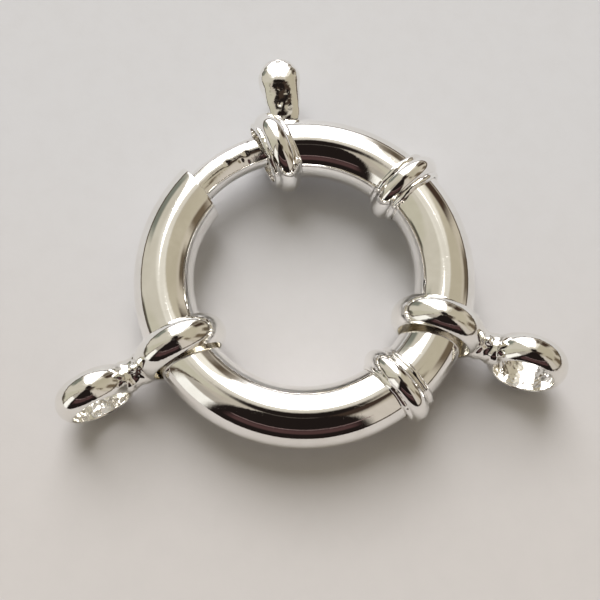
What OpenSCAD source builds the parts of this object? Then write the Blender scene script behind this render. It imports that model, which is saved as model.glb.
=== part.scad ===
// Spring ring clasp with two figure-eight connectors, in polished silver-plated metal.
// Frame: origin at the centre of the ring's eye, +Z along the ring's axis, +Y towards the mouth
// collar and the thumb lever, millimetres. The clasp lies on a surface below it, as modelled.

/* [Ring tube] */
// Radius of the ring, from its centre to the middle of the tube
ring_r = 8.25; // [7:0.05:10]
// Outside diameter of the tube
tube_d = 3.5; // [3.2:0.05:3.8]
// Wall of the tube
tube_wall = 0.35; // [0.25:0.05:0.45]
// Angle of the free mouth, where the gate enters, degrees
mouth_angle = 140.7; // [136:0.1:144]
// Skew of the cut at the free mouth, degrees
mouth_skew = -11; // [-14:1:0]
// Angle of the plug that the return spring pushes against, degrees
plug_angle = 24; // [15:1:30]
// Thickness of that plug
plug_t = 0.5; // [0.3:0.1:1]

/* [Gate] */
// Diameter of the gate, the sliding bolt that closes the gap
gate_d = 1.94; // [1.6:0.02:2]
// How far the gate runs outside the middle of the tube
gate_shift = 0.23; // [0:0.01:0.25]
// How far the tip of the closed gate reaches past the free mouth, degrees
gate_lap = 5; // [3:0.5:7]
// How far the tail of the gate reaches past the lever, degrees
gate_tail = 7; // [5:0.5:10]
// How far the gate draws back when the lever is pushed, degrees
gate_travel = 33; // [30:0.5:34]

/* [Thumb lever] */
// Angle of the lever where it leaves the tube, degrees
lever_angle = 97.3; // [95:0.1:98]
// Lean of the lever towards the mouth collar, degrees
lever_lean = 3; // [0:0.5:6]
// Diameter of the ball, seen from the front
ball_d = 2.56; // [2.2:0.02:2.8]
// Thickness of the flattened ball, from front to back
ball_t = 1.8; // [1.5:0.05:2.2]
// Height of the ball's middle above the tube
ball_rise = 3.1; // [2.6:0.1:3.6]
// Diameter of the stem where it meets the tube
stem_base_d = 1.6; // [1.2:0.02:1.7]
// Diameter of the stem under the ball
stem_d = 2.05; // [1.6:0.05:2.1]
// Thickness of the stem's foot, from front to back
foot_t = 1.2; // [1:0.05:1.6]
// Diameter of the pin that goes through the slot into the gate
pin_d = 0.8; // [0.6:0.05:0.9]
// Depth of the pin in the gate
pin_depth = 1.3; // [0.8:0.05:1.5]
// Play beside the pin in the slot of the tube
slot_play = 0.12; // [0.08:0.01:0.2]

/* [Return spring] */
// Outside diameter of the return spring
spring_d = 2.1; // [1.7:0.05:2.2]
// Thickness of its wire
spring_wire = 0.3; // [0.2:0.02:0.4]
// Number of turns
spring_turns = 13; // [8:1:16]

/* [Collars] */
// Width of a collar along the tube
collar_w = 1.86; // [1.6:0.02:2.2]
// How far the middle bead stands out from the tube
collar_rise = 0.67; // [0.5:0.01:0.8]
// Width of the middle bead
bead_w = 1.28; // [1.1:0.02:1.34]
// Thickness of the two edge beads
edge_bead_d = 0.4; // [0.34:0.02:0.44]
// How far the edge beads stand out from the tube
edge_rise = 0.28; // [0.22:0.01:0.34]
// Angle of the mouth collar, degrees
mouth_collar_angle = 103; // [102.5:0.1:105]
// Skew of the mouth collar, degrees
mouth_collar_skew = 9; // [6:0.5:9.5]
// Angle of the upper collar, degrees
upper_collar_angle = 44; // [40:0.5:48]
// Angle of the lower collar, degrees
lower_collar_angle = -49.2; // [-60:0.2:-46]
// Gap between a collar and the tube
collar_fit = 0.02; // [0.01:0.01:0.05]

/* [Connectors] */
// Outside diameter of the loop on the tube
big_loop_d = 5.55; // [5.3:0.05:5.6]
// Inside diameter of the loop on the tube, at its narrowest
big_hole_d = 4.14; // [4.1:0.02:4.2]
// Width of the loop on the tube
big_loop_w = 2; // [1.8:0.05:2.4]
// Outside diameter of the end loop
end_loop_d = 4.64; // [4.4:0.02:4.9]
// Diameter of the hole in the end loop
end_hole_d = 3.36; // [3:0.02:3.6]
// Width of the end loop
end_loop_w = 1.9; // [1.6:0.05:2.2]
// Distance between the middles of the two holes
loop_pitch = 5.48; // [5.4:0.02:6]
// How much the loops' outsides round off towards their edges
loop_crown = 0.42; // [0.2:0.01:0.44]
// How much the hole on the tube widens towards its edges
hole_flare = 0.05; // [0.03:0.01:0.08]
// Diameter of the neck between the loops
neck_d = 1.66; // [1.2:0.02:1.7]
// Diameter of the small bead on the neck
neck_bead_d = 0.62; // [0.4:0.02:0.8]

/* [How the connectors lie] */
// Angle of the left connector on the ring, degrees
left_angle = 212.2; // [205:0.5:225]
// Turn of the left connector away from straight out, degrees
left_turn = -2.4; // [-3:0.2:3]
// Lean of the left connector, degrees
left_lean = 1; // [0:0.5:4]
// Angle of the right connector on the ring, degrees
right_angle = -20.8; // [-25:0.2:20]
// Turn of the right connector away from straight out, degrees
right_turn = 0.6; // [-2:0.2:2]
// Lean of the right connector, degrees
right_lean = -7; // [-7.5:0.5:0]
// How far the cast left connector's end loop is twisted out of line with its big loop, degrees
left_twist = 1.5; // [1:0.5:6]
// How far the cast right connector's end loop is twisted out of line with its big loop, degrees
right_twist = -7; // [-10:0.5:0]
// How far the connectors hang in from the middle of the tube
hang_in = 0; // [-0.05:0.01:0.05]
// Height of the surface that the clasp lies on, below the middle of the tube
rest_drop = 2.55; // [2.54:0.01:2.6]

/* [Hidden] */
$fn = 64;
tube_r = tube_d / 2;
bore_r = tube_r - tube_wall;
ring_out = ring_r + tube_r;
gate_r = gate_d / 2;
gate_path = ring_r + gate_shift;
pin_r = pin_d / 2;
// The tube ends inside the skewed mouth collar, this far short of the collar's outer edge
end_inset = 0.4;
tube_end = mouth_collar_angle + degrees_at(collar_w / 2 - end_inset, ring_r);
gate_tip = mouth_angle + gate_lap;
gate_end = lever_angle - gate_tail;
// Length of the gate's blunted tip, and how much narrower it is at its end
nose = 0.4;
nose_taper = 0.2;
// Gap round the pin in the gate
pin_fit = 0.01;
// Height of the stem's foot above the tube, and the share of the stem where it has its full width
stem_lift = 0.1;
stem_full = 0.55;
// How far the stem runs up into the ball, and how far the neck's bead sits towards the tube
ball_sink = ball_d / 6;
bead_back = neck_bead_d / 4;
// Height of the round notch in the mouth collar's rim that the stem rests in
notch_rise = 0.55;
// Steps in a turn of the spring, sides of its wire, and the gap at both ends
turn_steps = 10;
wire_sides = 5;
spring_gap = 0.05;
// How far the neck stays short of the holes, its hollow's radius, and its spread beside the hollow
neck_inset = 0.1;
neck_hollow_r = 0.55;
neck_spread = 0.12;
// The slot leaves the pin room at both ends of its travel
slot_half = pin_r + slot_play;
slot_from = lever_angle - gate_travel - degrees_at(slot_half, ring_out - tube_wall);
slot_to = lever_angle + degrees_at(slot_half, ring_out - tube_wall);
bead_r = bead_w / 2;
edge_r = edge_bead_d / 2;
silver = [0.86, 0.85, 0.83];
cast_silver = [0.80, 0.79, 0.77];
steel = [0.62, 0.63, 0.65];

function degrees_at(length, radius) = length / radius * 180 / PI;
function arc_radius(half_width, drop) = (half_width * half_width + drop * drop) / (2 * drop);

// Places what stands at the origin, with X outwards and Y along the ring, at an angle on the ring
module on_ring(angle, radius = ring_r) rotate([0, 0, angle]) translate([radius, 0, 0]) children();

// Round bar bent along the ring, or a pipe where it has a bore
module bent_bar(path, r, from, to, bore = 0)
    rotate([0, 0, from]) rotate_extrude(angle = to - from) translate([path, 0]) difference() {
        circle(r);
        if (bore > 0) circle(bore);
    }

// Everything before a skewed cut at an angle
module before(angle, skew)
    on_ring(angle) rotate([0, 0, skew])
        translate([-tube_d, -tube_d, -tube_d]) cube([2 * tube_d, tube_d, 2 * tube_d]);

module slot_cutter()
    rotate([0, 0, slot_from]) rotate_extrude(angle = slot_to - slot_from)
        translate([ring_out - 2 * tube_wall, -slot_half]) square([3 * tube_wall, 2 * slot_half]);

module tube() color(silver) difference() {
    union() {
        bent_bar(ring_r, tube_r, mouth_angle - degrees_at(tube_r, ring_r), tube_end + 360, bore_r);
        bent_bar(ring_r, bore_r + tube_wall / 2, plug_angle - degrees_at(plug_t, ring_r), plug_angle);
    }
    before(mouth_angle, mouth_skew);
    slot_cutter();
}

module collar_profile() {
    translate([tube_r + collar_rise - bead_r, 0]) circle(bead_r);
    for (side = [-1, 1])
        translate([tube_r + edge_rise - edge_r, side * (collar_w / 2 - edge_r)]) circle(edge_r);
    translate([bore_r, -collar_w / 2 + edge_r]) square([tube_wall + edge_rise / 2, collar_w - 2 * edge_r]);
}

module collar(angle, skew) {
    reach = degrees_at(collar_w, ring_r);
    color(silver) difference() {
        on_ring(angle) rotate([0, 0, skew]) rotate([-90, 0, 0])
            rotate_extrude() collar_profile();
        bent_bar(ring_r, tube_r + collar_fit, angle - reach, angle + reach);
    }
}

module mouth_collar() color(silver) difference() {
    collar(mouth_collar_angle, mouth_collar_skew);
    at_lever() translate([0, 0, -tube_wall])
        cylinder(h = tube_wall + notch_rise, r = stem_base_d / 2 + slot_play);
}
module upper_collar() collar(upper_collar_angle, 0);
module lower_collar() collar(lower_collar_angle, 0);

// Stands at the lever's foot on the tube, with Z along the stem
module at_lever() on_ring(lever_angle, ring_out) rotate([0, 0, lever_lean]) rotate([0, 90, 0]) children();

module gate() color(silver) difference() {
    union() {
        bent_bar(gate_path, gate_r, gate_end, gate_tip - degrees_at(nose, gate_path));
        on_ring(gate_tip - degrees_at(nose, gate_path), gate_path) rotate([-90, 0, 0])
            translate([0, 0, -nose])
                cylinder(h = 2 * nose, r1 = gate_r - nose_taper / 2, r2 = gate_r - nose_taper);
    }
    at_lever() translate([0, 0, -tube_wall - pin_depth - pin_fit])
        cylinder(h = pin_depth + tube_wall, r = pin_r + pin_fit);
}

// The lever's outline from the side, which flattens the round ball and stem at the front and back
module lever_side() {
    top = ball_rise + ball_d / 2;
    polygon([[-foot_t / 2, -tube_wall - pin_depth], [foot_t / 2, -tube_wall - pin_depth],
             [foot_t / 2, stem_lift], [ball_t / 2, ball_rise - ball_sink], [ball_t / 2, top],
             [-ball_t / 2, top], [-ball_t / 2, ball_rise - ball_sink], [-foot_t / 2, stem_lift]]);
}

module lever() color(silver) at_lever() intersection() {
    waist = ball_rise - ball_d / 2;
    rotate_extrude() {
        translate([0, -tube_wall - pin_depth]) square([pin_r, pin_depth + tube_wall + 2 * stem_lift]);
        polygon([[0, stem_lift], [stem_base_d / 2, stem_lift], [stem_d / 2, stem_full * waist],
                 [stem_d / 2, waist + ball_sink], [0, ball_rise]]);
        translate([0, ball_rise]) intersection() {
            circle(ball_d / 2);
            translate([0, -ball_d]) square([ball_d, 2 * ball_d]);
        }
    }
    rotate([90, 0, 0]) linear_extrude(2 * ball_d, center = true) lever_side();
}

// The wire winds round the tube's own curve, from the plug to the tail of the closed gate
function spring_point(share, turn, r) =
    let (from = plug_angle + degrees_at(spring_wire / 2 + spring_gap, ring_r),
         to = gate_end - degrees_at(spring_wire / 2 + spring_gap, ring_r),
         along = from + share * (to - from),
         out = gate_path + r * cos(turn))
    [out * cos(along), out * sin(along), r * sin(turn)];

module return_spring() color(steel) {
    coil_r = (spring_d - spring_wire) / 2;
    steps = turn_steps * spring_turns;
    step = 360 / turn_steps;
    centres = [for (i = [0:steps]) spring_point(i / steps, step * i, coil_r)];
    outward = [for (i = [0:steps]) spring_point(i / steps, step * i, coil_r + 1) - centres[i]];
    ahead = [for (i = [0:steps]) centres[min(i + 1, steps)] - centres[max(i - 1, 0)]];
    points = [for (i = [0:steps])
        let (u = outward[i], v = cross(ahead[i], u) / norm(cross(ahead[i], u)))
        for (k = [0:wire_sides - 1])
            let (a = 360 / wire_sides * k) centres[i] + spring_wire / 2 * (cos(a) * u + sin(a) * v)];
    sides = [for (i = [0:steps - 1]) for (k = [0:wire_sides - 1])
        let (here = i * wire_sides, next = here + wire_sides, l = (k + 1) % wire_sides)
        each [[here + k, next + k, next + l], [here + k, next + l, here + l]]];
    start = [for (k = [0:wire_sides - 1]) k];
    end = [for (k = [wire_sides - 1:-1:0]) steps * wire_sides + k];
    polyhedron(points, concat([start, end], sides), convexity = 10);
}

// Loop profile: crowned outside, and inside either straight or widening to the edges
module loop_profile(outer_d, hole_d, width, flare) {
    out_arc = arc_radius(width / 2, loop_crown);
    intersection() {
        translate([outer_d / 2 - out_arc, 0]) circle(out_arc);
        translate([hole_d / 2, -width / 2]) square([outer_d, width]);
        if (flare > 0) {
            in_arc = arc_radius(width / 2, flare);
            translate([hole_d / 2 + in_arc, 0]) circle(in_arc);
        } else translate([hole_d / 2, -width]) square([outer_d, 2 * width]);
    }
}

module loop(outer_d, hole_d, width, flare)
    rotate([-90, 0, 0]) rotate_extrude() loop_profile(outer_d, hole_d, width, flare);

module neck() {
    from = big_hole_d / 2 + hole_flare + neck_inset;
    to = loop_pitch - end_hole_d / 2 - neck_inset;
    middle = (big_loop_d / 2 + loop_pitch - end_loop_d / 2) / 2;
    rotate([0, 90, 0]) rotate_extrude() difference() {
        translate([0, from]) square([neck_d / 2 + neck_spread, to - from]);
        translate([neck_d / 2 + neck_hollow_r, middle]) circle(neck_hollow_r);
    }
    translate([middle - bead_back, 0, neck_d / 2]) sphere(neck_bead_d / 2);
}

// X runs from the loop on the tube to the end loop, Y along the hole on the tube
module connector(twist) color(cast_silver) {
    difference() {
        union() {
            loop(big_loop_d, big_hole_d, big_loop_w, hole_flare);
            translate([loop_pitch, 0, 0]) rotate([twist, 0, 0])
                loop(end_loop_d, end_hole_d, end_loop_w, 0);
            neck();
        }
        translate([loop_pitch, 0, 0]) rotate([90 + twist, 0, 0])
            cylinder(h = 2 * end_loop_w, r = end_hole_d / 2, center = true);
    }
}

// Height of a loop's middle when its crowned outside, leaned, rests on the surface
function rest_height(loop_d, width, lean) =
    let (crown = arc_radius(width / 2, loop_crown))
    crown + (loop_d / 2 - crown) * cos(lean) - rest_drop;

module lying_connector(angle, turn, lean, twist) {
    near_z = rest_height(big_loop_d, big_loop_w, lean);
    far_z = rest_height(end_loop_d, end_loop_w, lean + twist);
    droop = asin((near_z - far_z) / loop_pitch);
    on_ring(angle, ring_r - hang_in) translate([0, 0, near_z])
        rotate([0, droop, turn]) rotate([lean, 0, 0]) connector(twist);
}

module left_connector() lying_connector(left_angle, left_turn, left_lean, left_twist);
module right_connector() lying_connector(right_angle, right_turn, right_lean, right_twist);

tube();
mouth_collar();
upper_collar();
lower_collar();
gate();
lever();
return_spring();
left_connector();
right_connector();
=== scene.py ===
"""A silver-plated spring ring clasp with two figure-eight connectors, lying on a pale floor.

Lengths are in millimetres in the shared frame and become metres when a mesh is made. Angles are in
degrees. An angle on the ring runs from +X towards +Y, and an angle round the tube, a collar or the
gate runs from the outside of the ring over the top.
"""

import math

import bpy
import numpy as np
from mathutils import Matrix, Vector


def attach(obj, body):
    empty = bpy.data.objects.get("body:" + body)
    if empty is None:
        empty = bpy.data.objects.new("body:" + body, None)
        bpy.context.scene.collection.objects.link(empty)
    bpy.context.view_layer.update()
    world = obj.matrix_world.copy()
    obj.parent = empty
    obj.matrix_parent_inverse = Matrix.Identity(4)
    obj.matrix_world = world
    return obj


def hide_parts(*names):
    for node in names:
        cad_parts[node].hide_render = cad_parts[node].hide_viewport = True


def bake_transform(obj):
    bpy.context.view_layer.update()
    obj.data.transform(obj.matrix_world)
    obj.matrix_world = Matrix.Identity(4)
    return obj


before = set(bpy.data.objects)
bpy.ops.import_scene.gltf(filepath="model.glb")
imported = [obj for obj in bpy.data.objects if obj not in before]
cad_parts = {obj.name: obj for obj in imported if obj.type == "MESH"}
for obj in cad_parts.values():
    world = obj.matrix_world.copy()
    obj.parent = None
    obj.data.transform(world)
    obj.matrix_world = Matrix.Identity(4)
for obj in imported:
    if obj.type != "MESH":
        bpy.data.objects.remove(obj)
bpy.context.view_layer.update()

MM = 0.001

# Ring tube
RING_R = 8.25  # from the ring's centre to the middle of the tube
TUBE_R = 1.75
TUBE_WALL = 0.35
BORE_R = TUBE_R - TUBE_WALL
RING_OUT = RING_R + TUBE_R
MOUTH_ANGLE = 140.7
MOUTH_SKEW = -11
MOUTH_SKEW_FADE = 25
RIM_ROUND = 0.05
PLUG_ANGLE = 24
PLUG_T = 0.5

# Gate
GATE_R = 0.97
GATE_PATH = RING_R + 0.23  # from the ring's centre to the middle of the gate
GATE_TIP = MOUTH_ANGLE + 5
GATE_TRAVEL = 33
GATE_TAIL = 7
NOSE_LENGTH = 0.4
NOSE_DROP = 0.35

# Thumb lever
LEVER_ANGLE = 97.3
LEVER_LEAN = 3
LEVER_TOP = 4.38
BALL_RISE = 3.1
BALL_ZONE = (2.2, 3.2)  # heights between which the stem turns into the ball
ROUNDER_ZONE = (1.9, 3.0)
ROUGH_STEM_ZONE = (1.4, 2.3)
EVEN_FOOT_ZONE = (0.12, 0.5)
PIN_R = 0.4
PIN_DEPTH = 1.3  # below the inside of the tube's wall
PIN_TOP_R = 0.42
SLOT_HALF = PIN_R + 0.12

# Collars
COLLAR_W = 1.86
COLLAR_HALF = COLLAR_W / 2
COLLAR_RISE = 0.67
BEAD_R = 0.64
EDGE_R = 0.2
EDGE_RISE = 0.28
EDGE_ZONE = (0.55, 0.7)  # distances from the collar's middle between which the edge beads begin
BEAD_BLEND = 45  # how sharply the beads meet
COLLAR_FIT = 0.02
LIP_INSET = 0.06
BORE_ROW_INSET = 0.3
END_INSET = 0.4  # of the tube's end, inside the mouth collar
MOUTH_COLLAR_ANGLE = 103
MOUTH_COLLAR_SKEW = 12.5
MOUTH_BEAD_R = 0.74
MOUTH_SAG = 0.22
UPPER_COLLAR_ANGLE = 44
UPPER_COLLAR_SKEW = -3
LOWER_COLLAR_ANGLE = -49.2
LOWER_BEAD_AT = -0.1
NOTCH_R = 0.92
NOTCH_RISE = 0.55

# Return spring
SPRING_R = 1.05
SPRING_WIRE = 0.3
SPRING_TURNS = 13
SPRING_STEPS = 36
SPRING_GAP = 0.05

# Connectors
BIG_LOOP_R = 2.775
BIG_HOLE_R = 2.07
BIG_LOOP_W = 2
END_LOOP_R = 2.32
END_HOLE_R = 1.68
END_LOOP_W = 1.9
LOOP_PITCH = 5.48
LOOP_CROWN = 0.42
CROWN_ROUND_R = 1.04
EDGE_SOFT = 0.05
NECK_R = 0.86
NECK_AT = (BIG_LOOP_R + LOOP_PITCH - END_LOOP_R) / 2
NECK_HOLLOW = 0.6
NECK_FLARE = 0.1
NECK_INSET = 0.12  # of the neck's ends, inside the loops
NECK_BEAD_R = 0.26
NECK_BEAD_BACK = 0.15
FILLET_ZONE = (0.85, 1.35)  # distances from the neck between which the fillets turn into true loops
FILLET_FLATNESS = 0.8
ROUGH_HOLE_ZONE = (END_HOLE_R + 0.02, END_HOLE_R + 0.12)
ROUGH_DEPTH_ZONE = (0.45, 0.85)
ROUGH_NECK_ZONE = (0.35, 0.75)
ROUGH_TOP_ZONE = (-0.1, 0.3)
VOXEL = 0.042  # keeps each connector under 200,000 triangles
REST_DROP = 2.55  # from the middle of the tube down to the floor


def cosd(a):
    return np.cos(np.radians(a))


def sind(a):
    return np.sin(np.radians(a))


def degrees_at(length, radius):
    return math.degrees(length / radius)


def all_round(count):
    """Angles spread evenly over a full turn."""
    return np.linspace(0, 360, count + 1)[:-1]


def smoothstep(zone, x):
    """0 before the zone and 1 after it, with a smooth way between."""
    start, end = zone
    t = np.clip((x - start) / (end - start), 0, 1)
    return t * t * (3 - 2 * t)


TUBE_END = MOUTH_COLLAR_ANGLE + degrees_at(COLLAR_HALF - END_INSET, RING_R)
GATE_END = LEVER_ANGLE - GATE_TAIL
SLOT_END_TURN = degrees_at(SLOT_HALF, RING_OUT - TUBE_WALL)
SLOT_FROM = LEVER_ANGLE - GATE_TRAVEL - SLOT_END_TURN
SLOT_TO = LEVER_ANGLE + SLOT_END_TURN

WAVES = 14


def ripple(points, size, seed):
    """Smooth unevenness between about -1 and 1, with bumps of about the given size."""
    rng = np.random.default_rng(seed)
    total = np.zeros(points.shape[:-1])
    for _ in range(WAVES):
        way = rng.normal(size=3)
        way /= np.linalg.norm(way)
        wave = 2 * math.pi / (size * rng.uniform(0.7, 1.8))
        total += np.sin(points @ way * wave + rng.uniform(0, 2 * math.pi))
    return total / math.sqrt(WAVES)


def unevenness(points, *layers):
    """Layers of ripple on each other, each given by its depth, the size of its bumps and its seed."""
    return sum(depth * ripple(points, size, seed) for depth, size, seed in layers)


# Meshes


class Skin:
    """Collects the points and faces of one piece."""

    def __init__(self):
        self.points = []
        self.faces = []

    def count(self):
        return sum(len(p) for p in self.points)

    def rows(self, grid):
        """Adds a grid of points and gives the numbers of its points."""
        grid = np.asarray(grid, float)
        first = self.count()
        self.points.append(grid.reshape(-1, 3))
        return first + np.arange(grid.shape[0] * grid.shape[1]).reshape(grid.shape[:2])

    def cover(self, ids, keep=None, flip=False, loop_rows=False, loop_columns=True):
        """Makes the faces between neighbouring rows and columns, apart from those that keep leaves out."""
        down = np.roll(ids, -1, 0) if loop_rows else ids[1:]
        here = ids if loop_rows else ids[:-1]
        if loop_columns:
            corners = [here, np.roll(here, -1, 1), np.roll(down, -1, 1), down]
        else:
            corners = [here[:, :-1], here[:, 1:], down[:, 1:], down[:, :-1]]
        if flip:
            corners = corners[::-1]
        quads = np.stack(corners, -1)
        if keep is not None:
            quads = quads[keep]
        self.faces += [tuple(q) for q in quads.reshape(-1, 4)]

    def cap(self, ring, flip=False):
        """Closes a ring of points with a fan round its middle."""
        every = np.concatenate(self.points)
        middle = self.rows(every[ring].mean(0)[None, None])[0, 0]
        turned = ring[::-1] if flip else ring
        self.faces += [(middle, a, b) for a, b in zip(turned, np.roll(turned, -1))]

    def add(self, other, matrix):
        """Takes over the points and faces of another skin, placed by a matrix."""
        first = self.count()
        self.points += [placed(p, matrix) for p in other.points]
        self.faces += [tuple(i + first for i in face) for face in other.faces]

    def place(self, matrix):
        self.points = [placed(p, matrix) for p in self.points]

    def piece(self, name, sharp=40):
        """The finished mesh object, in metres, with an edge wherever it turns by more than sharp."""
        mesh = bpy.data.meshes.new(name)
        mesh.from_pydata((np.concatenate(self.points) * MM).tolist(), [], self.faces)
        mesh.validate()
        mesh.shade_smooth()
        mesh.set_sharp_from_angle(angle=math.radians(sharp))
        made = bpy.data.objects.new(name, mesh)
        bpy.context.scene.collection.objects.link(made)
        return made


def bar_skin(grid, flip=False):
    """The skin of a bar: a grid of rows round it, closed at both ends."""
    skin = Skin()
    ids = skin.rows(grid)
    skin.cover(ids, flip=flip)
    skin.cap(ids[0], flip=not flip)
    skin.cap(ids[-1], flip=flip)
    return skin


def placed(points, matrix):
    return points @ np.array(matrix.to_3x3()).T + np.array(matrix.translation)


def turn_about(axis, degrees):
    return Matrix.Rotation(math.radians(degrees), 4, axis)


def on_ring(angle, radius=RING_R):
    """A place on the ring whose X axis points outwards."""
    return turn_about("Z", angle) @ Matrix.Translation((radius, 0, 0))


def at_lever():
    """The lever's foot on the tube, with Z up its stem and X to its back."""
    return on_ring(LEVER_ANGLE, RING_OUT) @ turn_about("Z", LEVER_LEAN) @ turn_about("Y", 90)


def bent(path, r, turn, around):
    """Points on a bar bent round the ring, at an angle on the ring and an angle round the bar."""
    out = path + r * cosd(around)
    return np.stack([out * cosd(turn), out * sind(turn), r * sind(around) + 0 * turn], -1)


def arc(centre, r, start, end, steps):
    """Points of a round corner in a section."""
    a = np.linspace(start, end, steps)
    return np.stack([centre[0] + r * cosd(a), centre[1] + r * sind(a)], -1)


def lathe(section, columns, closed=False):
    """Turns a section of (radius, height) points about Z. A closed section is that of a hoop."""
    turn = all_round(columns)
    section = np.asarray(section)
    grid = np.stack([
        section[:, :1] * cosd(turn)[None, :],
        section[:, :1] * sind(turn)[None, :],
        np.repeat(section[:, 1:], columns, 1),
    ], -1)
    if not closed:
        return bar_skin(grid)
    skin = Skin()
    skin.cover(skin.rows(grid), loop_rows=True)
    return skin


def tube_points(r, turn, around):
    """Points on a wall of the tube, whose rows are led over to the skewed cut near the mouth."""
    skew = math.radians(MOUTH_SKEW)
    out = RING_R + r * cosd(around)
    at_cut = MOUTH_ANGLE + MOUTH_SKEW - np.degrees(np.arcsin(RING_R * math.sin(skew) / out))
    share = 1 - smoothstep((MOUTH_ANGLE, MOUTH_ANGLE + MOUTH_SKEW_FADE), turn)
    return bent(RING_R, r, turn + (at_cut - MOUTH_ANGLE) * share, around)


def tube_rim(skin, outer, inner, end_turn, into, around, around_in):
    """The rounded rim at one end of the tube, between a row of the outer and one of the inner wall."""
    leans = np.linspace(0, 90, 5)[1:]
    rounded = [(TUBE_R - RIM_ROUND * (1 - cosd(a)), a, around) for a in leans]
    rounded += [(BORE_R + RIM_ROUND * (1 - cosd(a)), a, around_in) for a in leans[::-1]]
    rows = [outer]
    for r, lean, v in rounded:
        turn = end_turn + into * degrees_at(RIM_ROUND * (1 - sind(lean)), RING_R)
        rows.append(skin.rows(tube_points(r, np.full(len(v), turn), v)[None])[0])
    rows.append(inner)
    skin.cover(np.array(rows), flip=into < 0)


def nearest(values, wanted):
    return int(np.argmin(abs(values - wanted)))


def ring_tube():
    """The hollow tube from its free mouth round to the mouth collar, with the lever's slot."""
    half_out = math.degrees(math.asin(SLOT_HALF / TUBE_R))
    half_in = math.degrees(math.asin(SLOT_HALF / BORE_R))
    slot_from, slot_to = SLOT_FROM + 360, SLOT_TO + 360
    around = np.unique(np.concatenate([np.linspace(-180, 180, 81)[:-1], [-half_out, half_out]]))
    around_in = np.interp(around, [-180, -half_out, half_out, 180], [-180, -half_in, half_in, 180])
    turns = np.unique(np.concatenate([
        np.linspace(MOUTH_ANGLE, TUBE_END + 360, 340),
        [slot_from, slot_to],
    ]))

    # The walls' rows make room for the rims, but those of the slot stay where they are
    inset = degrees_at(RIM_ROUND, RING_R)
    rows = np.interp(turns, turns[[0, -1]], [turns[0] + inset, turns[-1] - inset])
    rows = np.where((turns > slot_from - 10) & (turns < slot_to + 10), turns, rows)
    rows[-1] = turns[-1] - inset

    skin = Skin()
    walls = []
    for r, v in ((TUBE_R, around), (BORE_R, around_in)):
        grid_turn, grid_v = np.meshgrid(rows, v, indexing="ij")
        walls.append(skin.rows(tube_points(r, grid_turn, grid_v)))

    from_row, to_row = nearest(turns, slot_from), nearest(turns, slot_to)
    low, high = nearest(around, -half_out), nearest(around, half_out)
    solid = np.full((len(turns) - 1, len(around)), True)
    solid[from_row:to_row, low:high] = False
    skin.cover(walls[0], keep=solid, flip=True)
    skin.cover(walls[1], keep=solid)
    for end, into in ((0, 1), (-1, -1)):
        tube_rim(skin, walls[0][end], walls[1][end], turns[end], into, around, around_in)

    edge = [(from_row, c) for c in range(low, high)] + [(r, high) for r in range(from_row, to_row)]
    edge += [(to_row, c) for c in range(high, low, -1)] + [(r, low) for r in range(to_row, from_row, -1)]
    skin.cover(np.array([[wall[r, c] for r, c in edge] for wall in walls]), flip=True)
    return skin.piece("ring_tube")


def tube_plug():
    """The plug inside the tube that the return spring pushes against."""
    turns = [PLUG_ANGLE - degrees_at(PLUG_T, RING_R), PLUG_ANGLE]
    grid_turn, grid_v = np.meshgrid(turns, all_round(48), indexing="ij")
    return bar_skin(bent(RING_R, BORE_R, grid_turn, grid_v), flip=True).piece("tube_plug")


# Small dents of wear on the gate: angle on the ring, angle round the bar, size, depth
GATE_DENTS = [
    (125.5, 100, 0.26, 0.026),
    (119.5, 120, 0.20, 0.024),
    (117.0, 135, 0.14, 0.018),
    (116.4, 104, 0.22, 0.028),
    (122.0, 80, 0.16, 0.014),
    (113.6, 60, 0.14, 0.010),
    (130.0, 70, 0.18, 0.008),
]


def gate_bar():
    """The sliding gate: a bent bar with a blunted tip, uneven and dented where it shows."""
    nose_turn = degrees_at(NOSE_LENGTH, GATE_PATH)
    straight = np.linspace(GATE_END, GATE_TIP - nose_turn, 420)
    blunt = np.linspace(0, 90, 12)[1:-1]
    turns = np.concatenate([straight, straight[-1] + nose_turn * sind(blunt)])
    radii = np.concatenate([np.full(len(straight), GATE_R), GATE_R - NOSE_DROP * (1 - cosd(blunt))])
    grid_turn, grid_v = np.meshgrid(turns, all_round(96), indexing="ij")
    grid_r = radii[:, None] + 0 * grid_v
    even = bent(GATE_PATH, grid_r, grid_turn, grid_v)
    for turn, v, size, depth in GATE_DENTS:
        spot = bent(GATE_PATH, GATE_R, np.array(turn), np.array(v))
        away = np.linalg.norm(even - spot, axis=-1)
        grid_r = grid_r - depth * np.exp(-((away / size) ** 2) * 2)
    grid_r = grid_r + unevenness(even, (0.004, 1.6, 5), (0.001, 0.5, 6))
    return bar_skin(bent(GATE_PATH, grid_r, grid_turn, grid_v), flip=True).piece("gate_bar")


# The lever's outline: height above the tube, half its width, and its thickness to front and back
LEVER_FORM = [
    (0.10, 0.50, 0.18, 0.40),
    (0.13, 0.66, 0.21, 0.48),
    (0.20, 0.78, 0.23, 0.52),
    (0.55, 0.88, 0.30, 0.56),
    (1.10, 0.99, 0.42, 0.60),
    (1.50, 1.07, 0.53, 0.64),
    (1.95, 1.12, 0.68, 0.70),
    (2.25, 1.14, 0.80, 0.74),
    (2.38, 1.17, 0.86, 0.77),
    (2.55, 1.23, 0.92, 0.82),
    (2.80, 1.29, 0.96, 0.86),
    (BALL_RISE, 1.32, 0.97, 0.89),
    (3.35, 1.29, 0.94, 0.89),
    (3.70, 1.13, 0.86, 0.84),
    (4.05, 0.86, 0.73, 0.73),
    (4.25, 0.62, 0.57, 0.58),
    (4.34, 0.44, 0.42, 0.44),
    (LEVER_TOP, 0.26, 0.26, 0.28),
]

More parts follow.
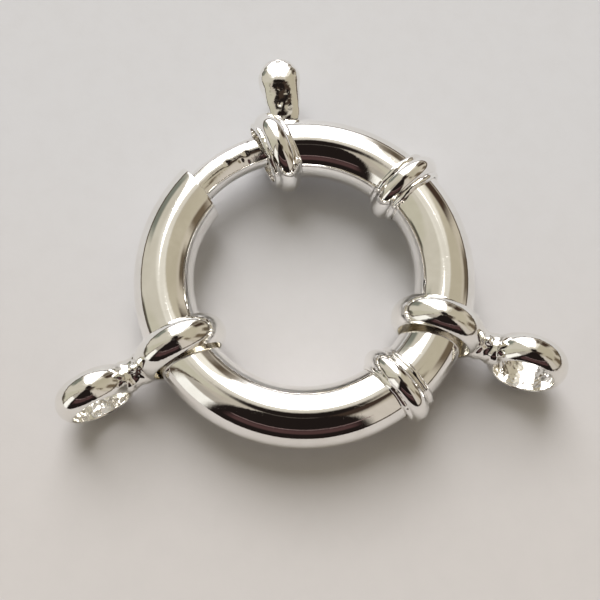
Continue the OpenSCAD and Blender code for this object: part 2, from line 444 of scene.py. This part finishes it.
# The lever's pin from its end in the gate up to the stem: radius and height above the tube
PIN_FORM = [(PIN_R, -TUBE_WALL - PIN_DEPTH), (PIN_R, -0.3), (PIN_R, 0.09), (PIN_TOP_R, 0.1)]

# Small pits in the front of the lever: place across, height, size and depth
LEVER_PITS = [
    (-0.08, 4.0, 0.09, 0.10),
    (0.1, 2.1, 0.14, 0.03),
    (-0.3, 1.8, 0.12, 0.03),
    (0.25, 1.2, 0.12, 0.04),
]


def lever_sections(around):
    """The even form of the lever: rounded squares up the stem, which grow rounder in the ball."""
    form = np.array(LEVER_FORM)
    heights = np.unique(np.concatenate([form[:3, 0], np.linspace(form[2, 0], LEVER_TOP, 110)]))
    half_w, front_t, back_t = [np.interp(heights, form[:, 0], form[:, i]) for i in (1, 2, 3)]
    for _ in range(5):
        for run in (half_w, front_t, back_t):
            run[4:-2] = (run[3:-3] + 2 * run[4:-2] + run[5:-1]) / 4
    power = 2 / (3.1 - 0.4 * smoothstep(ROUNDER_ZONE, heights))[:, None]
    c, s = cosd(around)[None], sind(around)[None]
    across = half_w[:, None] * np.sign(c) * abs(c) ** power
    thick = np.where(s > 0, front_t[:, None], back_t[:, None])
    return np.stack([-thick * np.sign(s) * abs(s) ** power, across, heights[:, None] + 0 * across], -1)


def thumb_lever():
    """The cast lever: a flattened ball on a stout stem, with the pin that goes down into the gate."""
    around = all_round(120)
    body = lever_sections(around)
    up = body[..., 2]
    on_stem = 1 - smoothstep(ROUGH_STEM_ZONE, up)
    rough = unevenness(body, (0.011, 0.9, 11), (0.002, 0.3, 12))
    rough = rough + on_stem * unevenness(body, (0.006, 0.42, 13))
    rough = rough * smoothstep(EVEN_FOOT_ZONE, up)
    in_ball = smoothstep(BALL_ZONE, up)
    way = body.copy()
    way[..., 2] = (up - BALL_RISE * in_ball) * in_ball
    way /= np.linalg.norm(way, axis=-1, keepdims=True)
    body = body + way * rough[..., None]
    for across, height, size, depth in LEVER_PITS:
        away = np.hypot(body[..., 1] - across, body[..., 2] - height)
        body[..., 0] += depth * np.exp(-((away / size) ** 2)) * (body[..., 0] < 0)
    c, s = cosd(around), sind(around)
    pin = [np.stack([-r * s, r * c, np.full(len(around), height)], -1) for r, height in PIN_FORM]
    skin = bar_skin(np.concatenate([pin, body]))
    skin.place(at_lever())
    return skin.piece("thumb_lever")


# Drops of solder on the mouth collar: angle round the tube, place along it, size, rise
SOLDER = [(62, 0.82, 0.2, 0.1), (84, 0.86, 0.16, 0.08), (30, 0.84, 0.14, 0.08), (118, 0.8, 0.18, 0.06)]


def bead_height(away, r, rise):
    """How far a bead's outside is from the middle of the tube, at a distance from the bead's crest."""
    dome = TUBE_R + rise - r + np.sqrt(np.maximum(r**2 - away**2, 0))
    return np.where(away < r, dome, TUBE_R)


def collar_outline(bead_at, bead_r):
    """Places along the collar and its radius there: a middle bead that flows into two edge beads."""
    along = COLLAR_HALF * sind(np.linspace(-90, 90, 75))
    middle = bead_height(abs(along - bead_at), bead_r, COLLAR_RISE)
    edges = bead_height(abs(abs(along) - (COLLAR_HALF - EDGE_R)), EDGE_R, EDGE_RISE)
    outer = np.log(np.exp(BEAD_BLEND * middle) + np.exp(BEAD_BLEND * edges)) / BEAD_BLEND
    outer[[0, -1]] = TUBE_R + EDGE_RISE - EDGE_R
    return along, outer


def about_y(r, along, around):
    """Points turned about the Y axis."""
    return np.stack([r * cosd(around), along, r * sind(around)], -1)


def collar_bore(skew, around):
    """Rows inside a collar, which follow the bent tube with a small gap, in the collar's own frame."""
    lip, row = COLLAR_HALF - LIP_INSET, COLLAR_HALF - BORE_ROW_INSET
    along, v = np.meshgrid([lip, row, 0, -row, -lip], around, indexing="ij")
    r = TUBE_R + COLLAR_FIT
    c, s = math.cos(math.radians(skew)), math.sin(math.radians(skew))
    out = RING_R + r * cosd(v)
    turn = math.radians(skew) + np.arcsin((along - RING_R * s) / out)
    x, y = out * np.cos(turn) - RING_R, out * np.sin(turn)
    return np.stack([x * c + y * s, y * c - x * s, r * sind(v)], -1)


def cut_notch(points, spot):
    """Lets a round notch for the lever's stem into the rim of a collar that stands at a spot."""
    lever = spot.inverted() @ at_lever()
    foot, way = np.array(lever.translation), np.array(lever.col[2])
    out, across = points[..., 0], points[..., 2]
    stem_at = foot[1] + (out - foot[0]) * way[1] / way[0]
    cut = np.hypot(points[..., 1] - stem_at, across) < NOTCH_R
    cut &= (out > 0) & (out < TUBE_R + NOTCH_RISE)
    edge = stem_at + np.sqrt(np.maximum(NOTCH_R**2 - across**2, 0))
    points[..., 1] = np.where(cut, np.minimum(edge, COLLAR_HALF - EDGE_R), points[..., 1])


def collar(name, angle, skew, seed, lumps=(), notched=False, bead_at=0, bead_r=BEAD_R, sag=0):
    """A turned collar round the tube: a round middle bead between two thin, uneven edge beads.

    bead_at is the middle bead's place along the tube, bead_r its radius, and sag the extra metal on
    the inside of the ring.
    """
    along, outer = collar_outline(bead_at, bead_r)
    around = all_round(216)
    grid_s, grid_v = np.meshgrid(along, around, indexing="ij")
    grid_r = outer[:, None] + 0 * grid_v
    even = about_y(grid_r, grid_s, grid_v)
    on_edge = smoothstep(EDGE_ZONE, abs(grid_s))
    grid_r = grid_r + sag * (1 - cosd(grid_v)) / 2 * (1 - on_edge / 2)
    grid_r = grid_r + on_edge * unevenness(even, (0.014, 0.9, seed), (0.006, 0.3, seed + 1))
    grid_r = grid_r + unevenness(even, (0.006, 1.5, seed + 2))
    grid_s = grid_s + on_edge * unevenness(even, (0.018, 1.1, seed + 3))
    for lump_v, lump_s, size, rise in lumps:
        beside = np.radians((grid_v - lump_v + 180) % 360 - 180) * TUBE_R
        grid_r = grid_r + rise * np.exp(-(beside**2 + (grid_s - lump_s) ** 2) / size**2)
    whole = np.concatenate([about_y(grid_r, grid_s, grid_v), collar_bore(skew, around)])
    spot = on_ring(angle) @ turn_about("Z", skew)
    if notched:
        cut_notch(whole, spot)
    skin = Skin()
    skin.cover(skin.rows(whole), loop_rows=True, flip=True)
    skin.place(spot)
    return skin.piece(name)


def return_spring():
    """The coil spring inside the tube, wound round the tube's own curve."""
    wire_r = SPRING_WIRE / 2
    clear = degrees_at(wire_r + SPRING_GAP, RING_R)
    start, end = PLUG_ANGLE + clear, GATE_END - clear
    share = np.linspace(0, 1, SPRING_TURNS * SPRING_STEPS + 1)

    def wound(r):
        return bent(GATE_PATH, r, start + share * (end - start), share * 360 * SPRING_TURNS)

    middle = wound(SPRING_R - wire_r)
    outward = wound(SPRING_R - wire_r + 1) - middle
    beside = np.cross(np.gradient(middle, axis=0), outward)
    beside /= np.linalg.norm(beside, axis=-1, keepdims=True)
    a = all_round(12)[:, None]
    grid = middle[:, None] + wire_r * (cosd(a) * outward[:, None] + sind(a) * beside[:, None])
    return bar_skin(grid).piece("coil_spring")


def loop_section(outer_r, hole_r):
    """Section of a loop, which is half-round outside and straight inside, with soft edges."""
    crown_at = outer_r - CROWN_ROUND_R
    open_angle = math.degrees(math.acos((hole_r + EDGE_SOFT - crown_at) / CROWN_ROUND_R))
    crown = arc((crown_at, 0), CROWN_ROUND_R, -open_angle, open_angle, 60)
    half = crown[-1, 1]
    inside = [(hole_r, y) for y in np.linspace(half - EDGE_SOFT, EDGE_SOFT - half, 30)]
    return np.concatenate([crown, inside])


def end_stand(twist):
    """Where the end loop stands, in the connector's own frame."""
    return Matrix.Translation((LOOP_PITCH, 0, 0)) @ turn_about("X", twist)


def rough_eight(name, big, end, twist):
    """The two loops, the neck and the bead on it as overlapping skins in one object."""
    whole = Skin()
    upright = turn_about("X", -90)
    whole.add(lathe(big, 160, closed=True), upright)
    whole.add(lathe(end, 160, closed=True), end_stand(twist) @ upright)
    heights = np.linspace(BIG_HOLE_R + NECK_INSET, LOOP_PITCH - END_HOLE_R - NECK_INSET, 30)
    hollow = 1 - np.sqrt(np.maximum(1 - ((heights - NECK_AT) / NECK_HOLLOW) ** 2, 0))
    radii = np.minimum(NECK_R + NECK_HOLLOW * hollow, NECK_R + NECK_FLARE)
    whole.add(lathe(np.stack([radii, heights], -1), 48), turn_about("Y", 90))
    bead = lathe(arc((0, 0), NECK_BEAD_R, -89, 89, 24), 32)
    whole.add(bead, Matrix.Translation((NECK_AT - NECK_BEAD_BACK, 0, NECK_R)))
    return whole.piece(name)


def fused(rough):
    """One smooth closed skin round an object, which is used up: points, normals and faces."""
    rough.data.transform(Matrix.Scale(1 / MM, 4))
    remesh = rough.modifiers.new("fuse", "REMESH")
    remesh.mode = "VOXEL"
    remesh.voxel_size = VOXEL
    remesh.use_smooth_shade = True
    smooth = rough.modifiers.new("settle", "SMOOTH")
    smooth.factor = 0.5
    smooth.iterations = 9
    mesh = rough.evaluated_get(bpy.context.evaluated_depsgraph_get()).to_mesh()
    points = np.empty(len(mesh.vertices) * 3)
    mesh.vertices.foreach_get("co", points)
    normals = np.empty(len(mesh.vertices) * 3)
    mesh.vertices.foreach_get("normal", normals)
    faces = [tuple(p.vertices) for p in mesh.polygons]
    rough.to_mesh_clear()
    bpy.data.objects.remove(rough)
    return points.reshape(-1, 3), normals.reshape(-1, 3), faces


def settled(points, section, share):
    """Moves points of a loop's skin onto its true section, by a share."""
    from_axis = points * [1, 0, 1]
    far = np.linalg.norm(from_axis, axis=1)
    flat = np.stack([far, points[:, 1]], -1)
    closest = ((flat[:, None] - section[None]) ** 2).sum(-1).argmin(1)
    along = (np.roll(section, -1, 0) - np.roll(section, 1, 0))[closest]
    along /= np.linalg.norm(along, axis=1, keepdims=True)
    near = section[closest]
    near = near + along * ((flat - near) * along).sum(1, keepdims=True)
    target = from_axis / far[:, None] * near[:, :1]
    target[:, 1] = near[:, 1]
    return points + (target - points) * share[:, None]


def cast_push(points, twist, seed):
    """How far a connector's skin stands out: most in the end loop's hole and on top of the neck."""
    in_end = placed(points, end_stand(twist).inverted())
    in_hole = 1 - smoothstep(ROUGH_HOLE_ZONE, np.hypot(in_end[:, 0], in_end[:, 2]))
    in_hole = in_hole * (1 - smoothstep(ROUGH_DEPTH_ZONE, abs(in_end[:, 1])))
    on_neck = 1 - smoothstep(ROUGH_NECK_ZONE, abs(points[:, 0] - NECK_AT))
    on_neck = on_neck * smoothstep(ROUGH_TOP_ZONE, points[:, 2])
    push = unevenness(points, (0.004, 1.6, seed))
    push = push + in_hole * unevenness(points, (0.012, 0.45, seed + 1), (0.004, 0.2, seed + 2))
    return push + on_neck * unevenness(points, (0.012, 0.4, seed + 3))


def rest_height(loop_r, width, lean):
    """Height of the middle of a loop that lies on the floor with its crowned outside and leans over."""
    crown_r = ((width / 2) ** 2 + LOOP_CROWN**2) / (2 * LOOP_CROWN)
    return crown_r + (loop_r - crown_r) * math.cos(math.radians(lean)) - REST_DROP


def connector(name, angle, turn, lean, twist, seed):
    """A cast figure-eight: the loop on the tube, a short neck, and the end loop.

    It hangs on the tube at an angle on the ring. turn, lean and twist are how far it is turned about
    the vertical, leans over its own length, and is twisted between its two loops.
    """
    big, end = loop_section(BIG_LOOP_R, BIG_HOLE_R), loop_section(END_LOOP_R, END_HOLE_R)
    points, normals, faces = fused(rough_eight(name + "_rough", big, end, twist))
    from_neck = np.hypot(points[:, 0] - NECK_AT, FILLET_FLATNESS * points[:, 2])
    clear = smoothstep(FILLET_ZONE, from_neck)
    for stand, section, side in ((Matrix(), big, -1), (end_stand(twist), end, 1)):
        mine = (points[:, 0] - NECK_AT) * side > 0
        local = placed(points[mine], stand.inverted())
        points[mine] = placed(settled(local, section, clear[mine]), stand)
    points = points + normals * cast_push(points, twist, seed)[:, None]

    near_z = rest_height(BIG_LOOP_R, BIG_LOOP_W, lean)
    far_z = rest_height(END_LOOP_R, END_LOOP_W, lean + twist)
    droop = math.degrees(math.asin((near_z - far_z) / LOOP_PITCH))
    skin = Skin()
    skin.points, skin.faces = [points], faces
    skin.place(on_ring(angle) @ Matrix.Translation((0, 0, near_z))
               @ turn_about("Z", turn) @ turn_about("Y", droop) @ turn_about("X", lean))
    return skin.piece(name, sharp=60)


# Shader nodes


class Wire:
    """A value that runs between shader nodes and takes part in plain sums."""

    def __init__(self, tree, socket):
        self.tree = tree
        self.socket = socket

    def __add__(self, other):
        return maths(self.tree, "ADD", self, other)

    __radd__ = __add__

    def __sub__(self, other):
        return maths(self.tree, "SUBTRACT", self, other)

    def __rsub__(self, other):
        return maths(self.tree, "SUBTRACT", other, self)

    def __mul__(self, other):
        return maths(self.tree, "MULTIPLY", self, other)

    __rmul__ = __mul__

    def __abs__(self):
        return maths(self.tree, "ABSOLUTE", self)

    def between(self, low, high):
        """0 below low and 1 above high, with a smooth way between; reversed if low is the larger."""
        return node(self.tree, "ShaderNodeMapRange", {"interpolation_type": "SMOOTHSTEP"},
                    {"Value": self, "From Min": low, "From Max": high, "To Min": 0.0, "To Max": 1.0})


def node(tree, kind, settings=None, sockets=None, out=0):
    """Adds a node: its settings first, then the values or wires of its sockets."""
    made = tree.nodes.new(kind)
    for name, value in (settings or {}).items():
        setattr(made, name, value)
    for name, value in (sockets or {}).items():
        socket = made.inputs[name]
        if isinstance(value, Wire):
            tree.links.new(value.socket, socket)
        elif isinstance(value, tuple) and len(value) == 3 and socket.type == "RGBA":
            socket.default_value = (*value, 1)
        else:
            socket.default_value = value
    return Wire(tree, made.outputs[out] if made.outputs else None)


def maths(tree, kind, *values):
    return node(tree, "ShaderNodeMath", {"operation": kind}, dict(enumerate(values)))


def mixed(tree, share, a, b):
    """One colour turning into another, through the node's two colour sockets and its colour output."""
    return node(tree, "ShaderNodeMix", {"data_type": "RGBA", "clamp_factor": True},
                {"Factor": share, 6: a, 7: b}, out=2)


def tone(red, green, blue):
    """A colour given as it shows on screen, 0 to 255, as light."""
    def light(c):
        c /= 255
        return c / 12.92 if c <= 0.04045 else ((c + 0.055) / 1.055) ** 2.4
    return light(red), light(green), light(blue)


def noise(tree, where, size, detail, rough=0.5, warp=0.0):
    """Soft unevenness from 0 to 1, with bumps of a size in millimetres."""
    return node(tree, "ShaderNodeTexNoise", {"noise_dimensions": "3D"},
                {"Vector": where, "Scale": 1 / (size * MM), "Detail": detail, "Roughness": rough,
                 "Distortion": warp}, out="Fac")


def finish_of(name):
    """A new material with its tree and the place on the piece that its textures follow."""
    material = bpy.data.materials.new(name)
    material.use_nodes = True
    tree = material.node_tree
    tree.nodes.clear()
    where = node(tree, "ShaderNodeTexCoord", out="Object")
    return material, tree, where


def scratched(tree, where, turned, stretched, size, low, high):
    """Fine scratches that all run one way, from noise stretched along it."""
    along = node(tree, "ShaderNodeMapping", {"vector_type": "POINT"},
                 {"Vector": where, "Rotation": turned, "Scale": stretched})
    return noise(tree, along, size, 4.0, 0.7).between(low, high)


def silver(name, dark, light, smooth, dull, grain, grain_size, scratches, stain=0.0):
    """Bright bare metal, duller in soft hazes, with grain, scratches and spots of tarnish.

    dark and light are the tones it wanders between, smooth and dull its roughness outside and inside
    the hazes, and grain, scratches and stain the strength of the rest.
    """
    material, tree, where = finish_of(name)
    haze = noise(tree, where, 2.6, 3.0, 0.6, 0.4)
    fine = noise(tree, where, grain_size, 3.0, 0.6)
    lines = scratched(tree, where, (0.4, 0.2, 0.9), (1.0, 14.0, 5.0), 1.3, 0.60, 0.74)
    lines = lines + scratched(tree, where, (0.2, 0.9, -0.5), (12.0, 1.0, 4.0), 1.5, 0.62, 0.76)
    spots = noise(tree, where, 0.5, 4.0, 0.7).between(0.66, 0.78) * stain
    colour = mixed(tree, haze.between(0.3, 0.7), light, dark)
    colour = mixed(tree, spots, colour, tone(120, 108, 88))
    roughness = smooth + (dull - smooth) * haze.between(0.45, 0.75) + 0.05 * scratches * lines + 0.2 * spots
    height = fine * grain + haze * 1.2 - lines * 0.25 * scratches
    bump = node(tree, "ShaderNodeBump", {}, {"Strength": 1.0, "Distance": 0.0035 * MM, "Height": height})
    shader = node(tree, "ShaderNodeBsdfPrincipled", {},
                  {"Base Color": colour, "Metallic": 1.0, "Roughness": roughness, "Normal": bump})
    node(tree, "ShaderNodeOutputMaterial", {}, {"Surface": shader})
    return material


def floor_finish():
    """A pale matt floor with a faint mottle, and painted shade that makes it a little warmer and darker
    towards the camera's side.
    """
    material, tree, where = finish_of("pale_floor")
    apart = node(tree, "ShaderNodeSeparateXYZ", {}, {"Vector": where}, out="Y")
    # painted shade: the floor's colour turns warmer and darker towards the camera's side, standing in for
    # light falloff and the photographer's shade
    colour = mixed(tree, apart.between(-16 * MM, 14 * MM), (0.605, 0.585, 0.58), (0.605, 0.61, 0.632))
    mottle = noise(tree, where, 1.4, 4.0, 0.6)
    colour = mixed(tree, mottle.between(0.35, 0.75) * 0.10, colour, (0.50, 0.49, 0.49))
    grit = noise(tree, where, 0.35, 3.0)
    bump = node(tree, "ShaderNodeBump", {}, {"Strength": 0.25, "Distance": 0.02 * MM, "Height": grit})
    shader = node(tree, "ShaderNodeBsdfPrincipled", {},
                  {"Base Color": colour, "Roughness": 0.85, "Normal": bump})
    node(tree, "ShaderNodeOutputMaterial", {}, {"Surface": shader})
    return material


# Light round the clasp, as it shows in the metal: azimuth and elevation of the middle of each
# soft patch in degrees, half its width and height, the softness of its edge, its colour as
# shown on screen, and its strength. Later patches lie over earlier ones.
PATCHES = [
    ("wash back left", 150, 38, 34, 40, 6, (203, 197, 182), 1.0),
    ("wash right", 12, 52, 48, 26, 12, (188, 179, 158), 1.0),
    ("wash low right", 12, 14, 44, 16, 8, (198, 188, 170), 1.0),
    ("wash left", -168, 38, 14, 40, 6, (194, 189, 170), 1.0),
    ("wash front right", -49, 32, 11, 27, 4, (203, 194, 182), 1.0),
    ("grey low back left", 139, 14, 12, 13, 5, (124, 127, 116), 1.0),
    ("dark back right", 48, 23, 9, 14, 5, (66, 52, 42), 1.0),
    ("brown strip back right", 64, 24, 5, 12, 5, (96, 84, 70), 1.0),
    ("brown low right", 17, 11, 9, 10, 5, (104, 92, 76), 1.0),
    ("brown right", -12, 16, 9, 15, 5, (108, 94, 76), 1.0),
    ("brown high right", -28, 46, 4, 10, 4, (104, 90, 74), 1.0),
    ("grey low left", -176, 5, 9, 7, 3, (92, 90, 78), 1.0),
    ("dark above right", -40, 76, 32, 10, 5, (62, 50, 42), 1.0),
    ("glow above the main light", 98, 66, 42, 12, 10, (232, 227, 214), 1.0),
    ("cream strip back right", 64, 52, 9, 14, 5, (246, 240, 226), 1.0),
    ("dark overhead", 0, 90, 200, 9, 2.5, (32, 26, 24), 1.0),
    ("main light, lower half", 98, 26, 25, 26, 4, (255, 253, 252), 1.6),
    ("main light", 98, 47, 25, 20, 4, (255, 253, 252), 7.6),
    ("grey line all round", 0, 3.6, 200, 2.6, 1.6, (80, 70, 62), 1.0),
    ("dark front", -96, 40, 37, 42, 3, (32, 26, 24), 1.0),
    ("reddish band in front", -94, 27, 30, 7, 4, (80, 58, 57), 1.0),
    ("reddish line in front", -90, 37, 34, 1.2, 1.5, (134, 112, 110), 1.0),
    ("second light", -143, 19, 9, 20, 3, (243, 241, 234), 1.15),
    ("wash above the second light", -145, 49, 10, 9, 5, (172, 165, 154), 1.0),
    ("brown line front left", -155, 31, 1.2, 31, 1.2, (74, 60, 48), 1.0),
]


def surroundings():
    """The light from all round: a pale sky over a pale ground, with soft patches of light and dark."""
    world = bpy.data.worlds.new("room")
    bpy.context.scene.world = world
    world.use_nodes = True
    tree = world.node_tree
    tree.nodes.clear()
    way = node(tree, "ShaderNodeTexCoord", out="Generated")
    x, y, z = [node(tree, "ShaderNodeSeparateXYZ", {}, {"Vector": way}, out=axis) for axis in "XYZ"]
    height = maths(tree, "ARCSINE", z) * (180 / math.pi)
    colour = mixed(tree, height.between(-1, 1), tone(206, 198, 190), tone(186, 177, 163))
    for label, azimuth, elevation, half_width, half_height, soft, shown, strength in PATCHES:
        c, s = math.cos(math.radians(azimuth)), math.sin(math.radians(azimuth))
        ahead, beside = x * c + y * s, y * c - x * s
        turn = abs(maths(tree, "ARCTAN2", beside, ahead)) * (180 / math.pi)
        rise = abs(height - elevation)
        mask = turn.between(half_width + soft, half_width - soft)
        mask = mask * rise.between(half_height + soft, half_height - soft)
        colour = mixed(tree, mask, colour, tuple(strength * c for c in tone(*shown)))
        colour.socket.node.label = label
    light = node(tree, "ShaderNodeBackground", {}, {"Color": colour, "Strength": 1.0})
    node(tree, "ShaderNodeOutputWorld", {}, {"Surface": light})


# Camera and floor

CAMERA_AT = Vector((0, -13.127, 43.043))
CAMERA_AIM = Vector((-0.229, -1.426, 0))
FOCAL_SHARE = 764.1 / 600  # focal length as a share of the picture's width
SENSOR = 36
FLOOR_REACH = 400
BOUNCES = 32  # enough for light that goes to and fro between the polished pieces


def camera():
    data = bpy.data.cameras.new("camera")
    data.sensor_width = SENSOR
    data.lens = SENSOR * FOCAL_SHARE
    data.clip_start, data.clip_end = MM, 10
    made = bpy.data.objects.new("camera", data)
    made.location = CAMERA_AT * MM
    made.rotation_mode = "QUATERNION"
    made.rotation_quaternion = (CAMERA_AIM - CAMERA_AT).to_track_quat("-Z", "Y")
    bpy.context.scene.collection.objects.link(made)
    bpy.context.scene.camera = made


def floor():
    reach = (-FLOOR_REACH, FLOOR_REACH)
    skin = Skin()
    skin.cover(skin.rows([[(x, y, -REST_DROP) for x in reach] for y in reach]), loop_columns=False)
    made = skin.piece("paper_sheet")
    made.data.materials.append(floor_finish())


bpy.context.scene.view_settings.view_transform = "Standard"
bpy.context.scene.cycles.max_bounces = BOUNCES
bpy.context.scene.cycles.glossy_bounces = BOUNCES
camera()
floor()
surroundings()

FINISHES = {
    "polished_silver": silver("polished_silver", tone(240, 238, 234), tone(251, 250, 248),
                              smooth=0.03, dull=0.065, grain=0.35, grain_size=0.25, scratches=0.5),
    "worn_silver": silver("worn_silver", tone(239, 237, 233), tone(251, 250, 248),
                          smooth=0.035, dull=0.09, grain=0.8, grain_size=0.2, scratches=1.6, stain=0.15),
    "cast_silver": silver("cast_silver", tone(238, 236, 231), tone(250, 249, 246),
                          smooth=0.035, dull=0.08, grain=1.6, grain_size=0.22, scratches=0.6, stain=0.2),
    "spring_steel": silver("spring_steel", tone(170, 172, 176), tone(196, 198, 202),
                           smooth=0.2, dull=0.35, grain=0.6, grain_size=0.1, scratches=1.0),
}

tube = ring_tube()
plug = tube_plug()
mouth_collar = collar("mouth_collar_bead", MOUTH_COLLAR_ANGLE, MOUTH_COLLAR_SKEW, seed=21, lumps=SOLDER,
                      notched=True, bead_r=MOUTH_BEAD_R, sag=MOUTH_SAG)
upper_collar = collar("upper_collar_bead", UPPER_COLLAR_ANGLE, UPPER_COLLAR_SKEW, seed=31)
lower_collar = collar("lower_collar_bead", LOWER_COLLAR_ANGLE, 0, seed=41, bead_at=LOWER_BEAD_AT)
gate = gate_bar()
lever = thumb_lever()
left_connector = connector("left_figure_eight", angle=212.2, turn=-2.4, lean=1, twist=1.5, seed=51)
right_connector = connector("right_figure_eight", angle=-20.8, turn=0.6, lean=-7, twist=-7, seed=61)

# Each piece with the body it rides on, the solid it stands for and its finish
PIECES = [
    (tube, "ring", "tube", "polished_silver"),
    (plug, "ring", None, "polished_silver"),
    (mouth_collar, "ring", "mouth_collar", "polished_silver"),
    (upper_collar, "ring", "upper_collar", "polished_silver"),
    (lower_collar, "ring", "lower_collar", "polished_silver"),
    (gate, "gate", "gate", "worn_silver"),
    (lever, "gate", "lever", "cast_silver"),
    (left_connector, "left_connector", "left_connector", "cast_silver"),
    (right_connector, "right_connector", "right_connector", "cast_silver"),
]
for piece, body, cad_node, slot in PIECES:
    piece.data.materials.append(FINISHES[slot])
    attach(piece, body)
    if cad_node:
        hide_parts(cad_node)

spring = return_spring()
spring.data.materials.append(FINISHES["spring_steel"])
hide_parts("return_spring")
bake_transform(spring)
